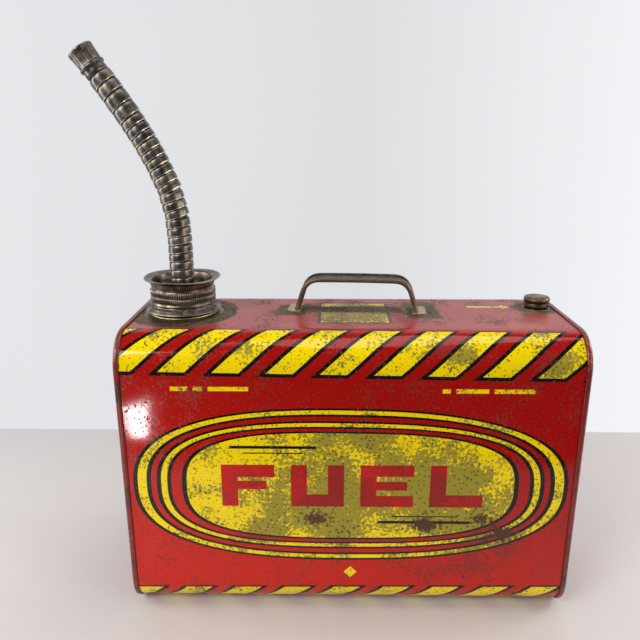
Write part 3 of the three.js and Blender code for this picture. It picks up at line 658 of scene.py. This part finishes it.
def end_loops():
    """The panel from its rim inwards: (distance in from the rim's face, offset from the sheet)."""
    loops = [(2 * ROLL_R, 0.35), (2 * ROLL_R, 1.5)]
    for i in range(9):
        a = math.pi * i / 8
        out = RIM_OUT / 2 * (1 + math.sin(a)) if i <= 4 else RIM_OUT - 1.9 * (1 - math.sin(a))
        loops.append((ROLL_R + ROLL_R * math.cos(a), out))
    loops += [(1.1, -0.9), (1.6, PANEL_EDGE), (PANEL_SUNK - 1.0, PANEL_EDGE)]
    loops += [(PANEL_SUNK - 0.3, PANEL_EDGE - 0.3), (PANEL_SUNK, PANEL_EDGE - 1.0)]
    border, raised = PANEL_EDGE - PANEL_BORDER, PANEL_SUNK - PANEL_RISE
    loops += [(PANEL_SUNK, border + 1.5), (PANEL_SUNK - 0.3, border + 0.8)]
    return [*loops, (raised, border - 1.0), (raised, border - 3.0)]


outer = end_loops()
back = PANEL_SUNK + SHEET
inner = [(back, PANEL_EDGE - PANEL_BORDER), (back, PANEL_EDGE - 0.1)]
inner += [(5.0, PANEL_EDGE + 0.85), (3.0, PANEL_EDGE + 0.85), (3.0, 0.3)]
for side, node in ((-1, "left_end_panel"), (1, "right_end_panel")):
    rings = []
    for inset, offset in [*outer[::-1], *inner[::-1]]:
        rings.append([(side * (HALF_LENGTH - inset), y, z) for y, z in section(offset, 10, 6.0)])
    per = len(rings[0])
    points = [p for ring in rings for p in ring]
    faces = faces_between(len(rings), per)
    faces.append(tuple(range(per)))
    faces.append(tuple(range((len(rings) - 1) * per, len(rings) * per)))
    piece_from(node + "_enamelled", points, faces, enamel, "tank", "rim_enamel", (node,))

# Filler boss and neck: a raised disc in the sheet, bared of its print by the soldering, with a turned
# and threaded neck soldered through it. Old tinplate gone grey-brown, brightest on its raised edge.
NECK_BORE_R = 20.5
NECK_R = 21.9
NECK_TOP = 248.3
THREAD_R = 23.1
THREAD_LOW = 238.7
THREAD_PITCH = 3.0


def aged_metal(name, dark, mid, bright, patch_mm, rough_low, rough_high, metallic=1.0):
    """A bare metal gone brown: patches some patch_mm across, brighter where edges are rubbed."""
    material, tree, shader = finish_for(name, Metallic=metallic)
    place = add(tree, "TexCoord").outputs["Object"]
    feeds = {"Vector": place, "Scale": 1000 / patch_mm, "Detail": 6.0, "Roughness": 0.6}
    patch = add(tree, "TexNoise", feeds).outputs["Fac"]
    speck = add(tree, "TexNoise", {"Vector": place, "Scale": 1000 / 1.2, "Detail": 2.0}).outputs["Fac"]
    browned = add(tree, "MapRange", {0: patch, 1: 0.38, 2: 0.62}).outputs[0]
    body = add(tree, "Mix", {0: browned, 6: linear(dark), 7: linear(mid)}, data_type="RGBA").outputs[2]
    edge = add(tree, "NewGeometry").outputs["Pointiness"]
    rubbed = add(tree, "Math", {0: speck, 1: 0.06, 2: edge}, operation="MULTIPLY_ADD").outputs[0]
    rubbed = add(tree, "MapRange", {0: rubbed, 1: 0.54, 2: 0.60}).outputs[0]
    body = add(tree, "Mix", {0: rubbed, 6: body, 7: linear(bright)}, data_type="RGBA").outputs[2]
    tree.links.new(body, shader.inputs["Base Color"])
    rough = add(tree, "MapRange", {0: patch, 1: 0.35, 2: 0.65, 3: rough_high, 4: rough_low}).outputs[0]
    tree.links.new(rough, shader.inputs["Roughness"])
    skin = add(tree, "Bump", {"Strength": 0.3, "Distance": 0.0002, "Height": speck})
    tree.links.new(skin.outputs[0], shader.inputs["Normal"])
    return material


bare_tin = aged_metal("bare_tinplate_gone_brown", "#40372A", "#716349", "#C4B48E", 9.0, 0.32, 0.6)
brown_steel = aged_metal("turned_steel_gone_brown", "#40382F", "#82776B", "#A2968A", 7.0, 0.28, 0.5)


def turned_points(profile, segments, centre, wave=None):
    """A closed profile of (radius, height), turned about an upright axis. wave moves a point by its angle."""
    points = []
    for i in range(segments):
        a = 2 * math.pi * i / segments
        for r, z in profile:
            rr, zz = wave(a, r, z) if wave else (r, z)
            points.append((centre[0] + rr * math.cos(a), centre[1] + rr * math.sin(a), zz))
    return points, faces_between(segments, len(profile), closed=True)


boss = [
    (22.3, 234.0), (30.5, 234.0), (31.6, 233.95), (32.6, 233.6), (33.4, 233.15), (34.4, 233.1),
    (35.2, 233.45), (35.9, 233.3), (36.2, 232.95), (36.3, 232.84), (32.6, 232.5), (31.6, 233.1),
    (22.3, 233.1),
]
piece_from("filler_boss", *turned_points(boss, 128, FILLER), bare_tin, "tank", "bare_tinplate")

crests = []
for i in range(3):
    z = THREAD_LOW + i * THREAD_PITCH
    crests += [(NECK_R, z), (THREAD_R, z + 0.9), (THREAD_R, z + 1.4), (NECK_R, z + 2.2)]
neck = [
    (NECK_BORE_R, 231.3), (NECK_R, 231.3), (NECK_R, 234.2), (26.6, 234.3), (27.0, 234.6), (26.8, 235.2),
    (26.2, 235.3), (22.6, 235.4), (NECK_R, 236.0), *crests, (NECK_R, NECK_TOP - 0.4),
    (NECK_R - 0.4, NECK_TOP), (NECK_BORE_R + 0.3, NECK_TOP), (NECK_BORE_R, NECK_TOP - 0.3),
]
turned = turned_points(neck, 96, FILLER)
piece_from("filler_neck_threaded", *turned, bare_tin, "tank", "bare_tinplate", ("filler_neck",))

# Seals: a cork ring on the neck's mouth and a cork disc in the vent cap, both cut from sheet pressed
# from granules. The spout's cup clamps the ring, and the disc is pushed into the cap.
cork, tree, shader = finish_for("pressed_cork", Roughness=0.9, Specular_IOR_Level=0.2)
place = add(tree, "TexCoord").outputs["Object"]
granule = add(tree, "TexVoronoi", {"Vector": place, "Scale": 1000 / 1.6})
tint = add(tree, "SeparateColor", {0: granule.outputs["Color"]}).outputs[0]
colour = add(tree, "Mix", {0: tint, 6: linear("#6B4526"), 7: linear("#A6794A")}, data_type="RGBA").outputs[2]
tree.links.new(colour, shader.inputs["Base Color"])
crumbs = add(tree, "Bump", {"Strength": 0.4, "Distance": 0.0003, "Height": granule.outputs["Distance"]})
tree.links.new(crumbs.outputs[0], shader.inputs["Normal"])
gasket = [
    (20.5, 248.7), (20.7, 248.6), (22.9, 248.6), (23.1, 248.8), (23.1, 250.0), (22.9, 250.2),
    (20.7, 250.2), (20.5, 250.0),
]
turned = turned_points(gasket, 96, FILLER)
piece_from("filler_gasket_cork", *turned, cork, "spout_seal", "cork", ("filler_gasket",))
liner_top = [(0.01, 240.8), (7.3, 240.8), (7.6, 241.0), (7.6, 241.8), (7.3, 242.0), (0.01, 242.0)]
turned = turned_points(liner_top, 64, VENT)
piece_from("vent_liner_cork", *turned, cork, "vent_seal", "cork", ("vent_liner",))

# Spout cup, its socket, and the slip washer: pressed steel. The cup's skirt centres it in the neck,
# the socket is swaged round the foot of the hose, and the washer lets the ring turn without it.
cup = [
    (11.2, 250.5), (18.6, 250.5), (19.3, 249.8), (19.3, 244.5), (20.2, 244.5), (20.2, 250.2),
    (20.5, 250.5), (22.8, 250.5), (23.1, 250.8), (23.1, 251.2), (22.8, 251.4), (11.2, 251.4),
]
turned = turned_points(cup, 96, FILLER)
piece_from("spout_cup_pressed", *turned, brown_steel, "spout", "ring_steel", ("spout_cup",))
socket = [
    (9.7, 247.5), (10.9, 247.5), (10.9, 251.7), (14.6, 251.7), (15.0, 252.0), (15.0, 252.4),
    (14.6, 252.6), (11.6, 252.6), (10.9, 253.3), (10.9, 257.0), (10.6, 257.7), (10.0, 257.7),
    (9.7, 257.4),
]
turned = turned_points(socket, 80, FILLER)
piece_from("hose_socket_swaged", *turned, brown_steel, "spout", "ring_steel", ("hose_socket",))
washer = [
    (19.5, 251.8), (19.6, 251.7), (23.0, 251.7), (23.1, 251.8), (23.1, 252.4), (23.0, 252.5),
    (19.6, 252.5), (19.5, 252.4),
]
turned = turned_points(washer, 96, FILLER)
piece_from("slip_washer_pressed", *turned, bare_tin, "ring_washer", "bare_tinplate", ("slip_washer",))

# Clamp ring: spun from steel sheet, with a flared lip at each end, two rolled beads, and two bands
# knurled for the fingers. Its lip has been knocked, so it is a little wavy at the right.
RING_LOW, RING_TOP = 237.4, 263.9
KNURLS = 92
KNURL_DEPTH = 0.38
KNOCK_ANGLE, KNOCK_SPREAD = 0.75, 0.28
ring_outside = [
    (28.2, RING_LOW), (30.0, RING_LOW), (30.2, 237.7), (30.1, 238.1), (28.9, 239.2), (28.0, 240.3),
    (27.4, 241.2), (25.9, 241.9), (25.7, 242.5), (26.1, 243.1), (26.3, 243.8), (26.1, 244.5),
    (25.6, 245.0), (25.5, 245.4), (25.7, 245.8), (25.7, 247.6), (25.7, 249.2), (25.4, 249.5),
    (25.1, 249.9), (25.1, 250.2), (25.5, 250.6), (25.8, 251.0), (25.8, 252.8), (25.8, 254.3),
    (25.5, 254.8), (25.1, 255.3), (25.0, 256.3), (25.1, 257.3), (25.5, 258.1), (25.8, 259.0),
    (25.9, 259.8), (25.8, 260.6), (26.1, 261.2), (28.2, 262.3), (29.6, 262.9), (30.2, 263.2),
    (30.4, 263.6), (30.1, RING_TOP),
]
ring_inside = [
    (27.9, 263.5), (24.9, 262.6), (24.2, 261.6), (24.2, 254.1), (19.5, 254.1), (19.5, 252.8),
    (24.2, 252.8), (24.2, 248.4), (23.6, 247.8), (23.6, 247.0), (24.2, 246.4), (24.2, 244.9),
    (23.6, 244.3), (23.6, 243.5), (24.2, 242.9), (24.2, 240.6),
]


def ring_wave(a, r, z):
    """Knurls on the two bands, and the knocks in the upper lip."""
    if r > 25.6 and (245.7 < z < 249.3 or 250.9 < z < 254.4):
        r += KNURL_DEPTH * (abs((a * KNURLS / math.pi) % 2 - 1) * 2 - 1)
    if z > 262.0 and r > 26:
        past = (a + KNOCK_ANGLE + math.pi) % (2 * math.pi) - math.pi
        knock = math.exp(-((past / KNOCK_SPREAD) ** 2))
        z += -0.9 * knock + 0.25 * math.sin(3 * a) + 0.12 * math.sin(7 * a + 1)
        r += 0.35 * math.sin(2 * a + 0.6)
        z, r = min(z, RING_TOP + 0.4), min(r, 31.0)
    return r, z


turned = turned_points(ring_outside + ring_inside, KNURLS * 4, FILLER, ring_wave)
piece_from("filler_ring_knurled", *turned, brown_steel, "ring", "ring_steel", ("filler_ring",), sharp=50)

# Flexible spout: a steel strip wound round and round, each turn hooked over the last, so it bends and
# stays put. Blued and polished, with rust, dirt and painted shade in the recess under each lip, and each
# lower lip rubbed and given a painted highlight. Each turn's lower lip is the wider.
# It rides in eight stretches, on the foot and the seven links.
HOSE_R = 9.4
HOSE_BORE_R = 8.5
HOSE_FOOT = (-136.0, 3.0, 248.5)
FOOT_LENGTH = 44.5
LINK_LENGTH = 20.5
LINK_BENDS = [3.5, 9.5, 9.5, 4.5, 4.0, 2.5, 2.0]
WIND_TILT = math.radians(5.0)
HOSE_SIDES = 40
LINKS = len(LINK_BENDS)
FOOT_BURIED, FOOT_TURN = 3.0, 6.55
TURN_LAP, JOINT_GAP = 2.2, 0.35

gunmetal, tree, shader = finish_for("blued_spring_steel", Metallic=1.0)
place = add(tree, "TexCoord").outputs["Object"]
feeds = {"Vector": place, "Scale": 1000 / 8, "Detail": 5.0, "Roughness": 0.6}
smear = add(tree, "TexNoise", feeds).outputs["Fac"]
speck = add(tree, "TexNoise", {"Vector": place, "Scale": 1000 / 1.5, "Detail": 2.0}).outputs["Fac"]
seam = add(tree, "Attribute", attribute_name="seam").outputs["Fac"]
browned = add(tree, "MapRange", {0: smear, 1: 0.4, 2: 0.65}).outputs[0]
steel = add(tree, "Mix", {0: browned, 6: linear("#5E5C5D"), 7: linear("#867B6E")}, data_type="RGBA")
# Dirt and painted shade: near black in the recess under each turn's lip.
dirt_and_shade = add(tree, "MapRange", {0: seam, 1: -0.2, 2: -0.9}).outputs[0]
steel = add(tree, "Mix", {0: dirt_and_shade, 6: steel.outputs[2], 7: linear("#241C16")}, data_type="RGBA").outputs[2]
# Rubbed metal and a painted highlight: near white along each turn's lower lip.
lip = add(tree, "Math", {0: speck, 1: 0.6, 2: seam}, operation="MULTIPLY_ADD").outputs[0]
lip = add(tree, "MapRange", {0: lip, 1: 0.95, 2: 1.2}).outputs[0]
steel = add(tree, "Mix", {0: lip, 6: steel, 7: linear("#F0DDBC")}, data_type="RGBA").outputs[2]
tree.links.new(steel, shader.inputs["Base Color"])
rough = add(tree, "Math", {0: smear, 1: 0.3, 2: 0.2}, operation="MULTIPLY_ADD").outputs[0]
tree.links.new(rough, shader.inputs["Roughness"])
skin = add(tree, "Bump", {"Strength": 0.25, "Distance": 0.0002, "Height": speck})
tree.links.new(skin.outputs[0], shader.inputs["Normal"])


def up_stretch(lean):
    """The unit vector up a stretch that leans so many radians to the left."""
    return Vector((-math.sin(lean), 0, math.cos(lean)))


def joint_frames():
    """Each stretch's start, and its lean to the left in radians."""
    starts, leans = [Vector(HOSE_FOOT)], [0.0]
    reach = FOOT_LENGTH
    for bend in LINK_BENDS:
        starts.append(starts[-1] + up_stretch(leans[-1]) * reach)
        leans.append(leans[-1] + math.radians(bend))
        reach = LINK_LENGTH
    return starts, leans


starts, leans = joint_frames()


def turn_of_strip(start, lean, low, high):
    """One turn of the strip between two heights up a stretch, tilted as the winding is. Each point of
    its profile is a radius, a height, and how rubbed and lit with a painted highlight (1), or dirty and
    darkened with painted shade (-1), it is."""
    h = high - low
    profile = [
        (HOSE_BORE_R, low - 0.5, -1.0), (HOSE_R + 0.2, low - 0.5, 1.0), (HOSE_R + 0.35, low, 1.0),
        (HOSE_R + 0.3, low + 0.6, 0.0), (HOSE_R + 0.3, low + h * 0.3, 0.0),
        (HOSE_R + 0.15, low + h * 0.62, 0.0), (HOSE_R - 0.1, high - 1.4, -0.1),
        (HOSE_R - 0.7, high - 0.9, -0.8), (HOSE_BORE_R, high - 0.5, -1.0),
    ]
    points, seams = [], []
    for i in range(HOSE_SIDES):
        a = 2 * math.pi * i / HOSE_SIDES
        for r, z, rubbed in profile:
            x, y = r * math.cos(a), r * math.sin(a)
            z = z + x * math.tan(WIND_TILT)
            across = x * math.cos(lean) - z * math.sin(lean)
            up = x * math.sin(lean) + z * math.cos(lean)
            points.append((start.x + across, start.y + y, start.z + up))
            seams.append(rubbed)
    return points, seams, len(profile)


for stretch in range(LINKS + 1):
    if stretch == 0:
        edges = [FOOT_BURIED + FOOT_TURN * i for i in range(6)] + [FOOT_LENGTH - TURN_LAP]
    elif stretch < LINKS:
        turns = 3 if stretch < LINKS - 1 else 2
        edges = [-TURN_LAP + LINK_LENGTH * i / turns for i in range(turns + 1)]
        edges[0] += JOINT_GAP
    else:
        edges = [-TURN_LAP + JOINT_GAP, 6.8, 15.0]
    points, faces, seams = [], [], []
    for low_edge, high_edge in zip(edges[:-1], edges[1:]):
        ring_points, ring_seams, n = turn_of_strip(starts[stretch], leans[stretch], low_edge, high_edge)
        base = len(points)
        points += ring_points
        seams += ring_seams
        faces += faces_between(HOSE_SIDES, n, closed=True, base=base)
    node = "hose_foot" if stretch == 0 else f"hose_link_{stretch}"
    body = "spout" if stretch == 0 else f"hose_{stretch}"
    wound = piece_from(node + "_wound", points, faces, gunmetal, body, "hose_gunmetal", (node,), sharp=55)
    wound.data.attributes.new("seam", "FLOAT", "POINT").data.foreach_set("value", seams)

# Inner strip: where the outer turns open at a bend, the strip under them shows. One short sleeve of it
# bends across each joint.
INNER_R, INNER_WALL = 8.3, 0.5
INNER_REACH, INNER_STEPS = 6.0, 8

for i in range(1, LINKS + 1):
    lower, upper = leans[i - 1], leans[i]
    points = []
    steps_up = range(INNER_STEPS + 1)
    for k in range(HOSE_SIDES):
        a = 2 * math.pi * k / HOSE_SIDES
        for r, order in ((INNER_R, steps_up), (INNER_R - INNER_WALL, steps_up[::-1])):
            for step in order:
                along = INNER_REACH * (2 * step / INNER_STEPS - 1)
                plane = lower + (upper - lower) * step / INNER_STEPS
                middle = starts[i] + up_stretch(lower if along < 0 else upper) * along
                x, y = r * math.cos(a), r * math.sin(a)
                points.append((middle.x + x * math.cos(plane), middle.y + y, middle.z + x * math.sin(plane)))
    faces = faces_between(HOSE_SIDES, 2 * len(steps_up), closed=True)
    sleeve = piece_from(f"hose_inner_strip_{i}", points, faces, gunmetal, None, "hose_gunmetal")
    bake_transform(sleeve)

# Nozzle: a turned steel tip with a rolled collar at its root and shallow flutes for grip, pressed on
# over the last turn and flared to an open mouth.
FLUTES = 18
FLUTE_DEPTH = 0.45
end = starts[-1] + up_stretch(leans[-1]) * LINK_LENGTH
nozzle_profile = [
    (7.6, -5.6), (8.4, -5.7), (8.9, -5.2), (9.0, -3.2), (8.7, -1.0), (8.8, 0.0), (9.9, 0.5),
    (10.2, 1.3), (10.0, 2.2), (9.3, 2.8), (9.25, 4.0), (9.45, 7.0), (9.75, 11.0), (9.95, 13.6),
    (10.1, 14.6), (10.1, 15.4), (9.8, 15.9), (9.3, 16.0), (8.9, 15.6), (8.7, 13.0), (7.7, 1.5),
]
points = []
across = Vector((math.cos(leans[-1]), 0, math.sin(leans[-1])))
for i in range(FLUTES * 4):
    a = 2 * math.pi * i / (FLUTES * 4)
    for r, z in nozzle_profile:
        if 3.5 < z < 14.0 and r > 9.2:
            r -= FLUTE_DEPTH * (0.5 + 0.5 * math.cos(a * FLUTES))
        sideways = across * r * math.cos(a) + Vector((0, r * math.sin(a), 0))
        points.append(tuple(end + sideways + up_stretch(leans[-1]) * z))
faces = faces_between(FLUTES * 4, len(nozzle_profile), closed=True)
piece_from("nozzle_fluted", points, faces, gunmetal, "hose_7", "hose_gunmetal", ("nozzle",), sharp=50)

# Vent: a short soldered neck and a screw cap with two rolled beads. Both were lacquered brown, and
# the cap's flat top is rubbed through to tan metal.
lacquer = aged_metal("brown_lacquered_steel", "#241812", "#413024", "#8A7456", 6.0, 0.3, 0.5, metallic=0.7)
vent_neck = [
    (5.7, 230.1), (7.0, 230.1), (7.0, 233.0), (11.2, 233.1), (11.4, 233.4), (11.2, 233.8),
    (10.0, 234.1), (7.8, 234.2), (7.6, 234.6), (7.6, 239.9), (7.3, 240.4), (6.9, 240.5), (5.9, 240.5),
    (5.7, 240.2),
]
turned = turned_points(vent_neck, 72, VENT)
piece_from("vent_neck_turned", *turned, lacquer, "tank", "vent_brown", ("vent_neck",))
vent_cap = [
    (0.01, 242.3), (9.5, 242.3), (9.5, 235.3), (10.0, 235.3), (10.3, 235.5), (10.6, 236.1),
    (10.65, 237.0), (10.4, 238.0), (10.0, 238.6), (10.0, 239.3), (10.4, 239.9), (10.65, 240.8),
    (10.6, 241.9), (10.2, 242.7), (9.4, 243.1), (8.8, 242.95), (8.2, 243.0), (7.6, 243.3),
    (0.01, 243.3),
]
turned = turned_points(vent_cap, 72, VENT)
piece_from("vent_cap_beaded", *turned, lacquer, "vent_lid", "vent_brown", ("vent_cap",), sharp=45)

# Handle: a strip of steel with both edges rolled into beads so that it doesn't cut the hand, bent to
# a low arch, its ends turned out flat and spot-welded to the top. Oxidised dark brown, and rubbed
# bright along the beads and the tabs.
HANDLE_X, HANDLE_Y, HANDLE_SKEW = 6.4, 11.0, math.radians(-4)
HANDLE_WIDTH, HANDLE_RISE, HANDLE_BEAD_R = 22.0, 29.6, 2.0
FOOT_HALF, TOP_HALF, HANDLE_BEND = 49.0, 41.0, 11.0
BAR_CROWN = 0.25
TAB_LENGTH, TAB_THICK, TAB_CORNER_R, TAB_UNDER = 8.0, 1.6, 2.0, 3.0
oxide = aged_metal("oxidised_strip_steel", "#1F1611", "#3C2E24", "#8A725A", 8.0, 0.3, 0.5, metallic=0.5)

bead_across = HANDLE_WIDTH / 2 - HANDLE_BEAD_R
strip = []
for side in (1, -1):
    for i in range(11):
        a = math.radians(-158 + 316 * i / 10)
        strip.append((side * (bead_across + HANDLE_BEAD_R * math.cos(a)), side * HANDLE_BEAD_R * math.sin(a)))
    strip.append((side * (bead_across - 3.4), side * 0.62))
    strip.append((side * 3.0, side * 0.6))
low_z, high_z = TAB_THICK / 2 + 0.3 + 0.9, HANDLE_RISE - HANDLE_BEAD_R
foot, corner = Vector((FOOT_HALF, 0, low_z)), Vector((TOP_HALF, 0, high_z))
leg_end = corner + (foot - corner).normalized() * HANDLE_BEND
bar_end = Vector((TOP_HALF - HANDLE_BEND, 0, high_z))
half = [foot.lerp(leg_end, t / 4) for t in range(4)]
for i in range(9):
    t = i / 8
    half.append(leg_end * (1 - t) ** 2 + corner * 2 * t * (1 - t) + bar_end * t**2)
for t in (0.25, 0.5, 0.75, 1.0):
    half.append(Vector((bar_end.x * (1 - t), 0, high_z + BAR_CROWN * math.sin(t * math.pi / 2))))
centre_line = half + [Vector((-p.x, 0, p.z)) for p in half[-2::-1]]
turn = Matrix.Rotation(HANDLE_SKEW, 4, "Z")
origin = Vector((HANDLE_X, HANDLE_Y, HIGH))
points = []
for k, p in enumerate(centre_line):
    ahead = (centre_line[min(k + 1, len(centre_line) - 1)] - centre_line[max(k - 1, 0)]).normalized()
    normal = Vector((-ahead.z, 0, ahead.x))
    for across, out in strip:
        points.append(tuple(turn @ (p + Vector((0, across, 0)) + normal * out) + origin))
n = len(strip)
faces = faces_between(len(centre_line), n)
faces += [tuple(range(n)), tuple(range((len(centre_line) - 1) * n, len(centre_line) * n))]
piece_from("handle_strap", points, faces, oxide, "tank", "handle_steel", ("handle",), sharp=45)
tab_points, tab_faces = [], []
corner_x, corner_y = TAB_LENGTH - TAB_CORNER_R, HANDLE_WIDTH / 2 - TAB_CORNER_R
outline = [(-TAB_UNDER, HANDLE_WIDTH / 2)]
for i in range(5):
    a = math.pi / 2 * i / 4
    outline.append((corner_x + TAB_CORNER_R * math.sin(a), corner_y + TAB_CORNER_R * math.cos(a)))
outline += [(x, -y) for x, y in outline[::-1]]
for side in (1, -1):
    base = len(tab_points)
    layers = [(0.0, 0.3), (0.0, TAB_THICK), (0.3, TAB_THICK + 0.3)]
    for inset, z in layers:
        for x, y in outline:
            shrink = 1 - inset / 11
            spot = turn @ Vector((side * (FOOT_HALF + (x - 2.5) * shrink + 2.5), y * shrink, z)) + origin
            tab_points.append(tuple(spot))
    m = len(outline)
    tab_faces += faces_between(len(layers), m, base=base)
    tab_faces += [tuple(range(base, base + m)), tuple(range(base + 2 * m, base + 3 * m))]
piece_from("handle_tabs", tab_points, tab_faces, bare_tin, "tank", "handle_steel")
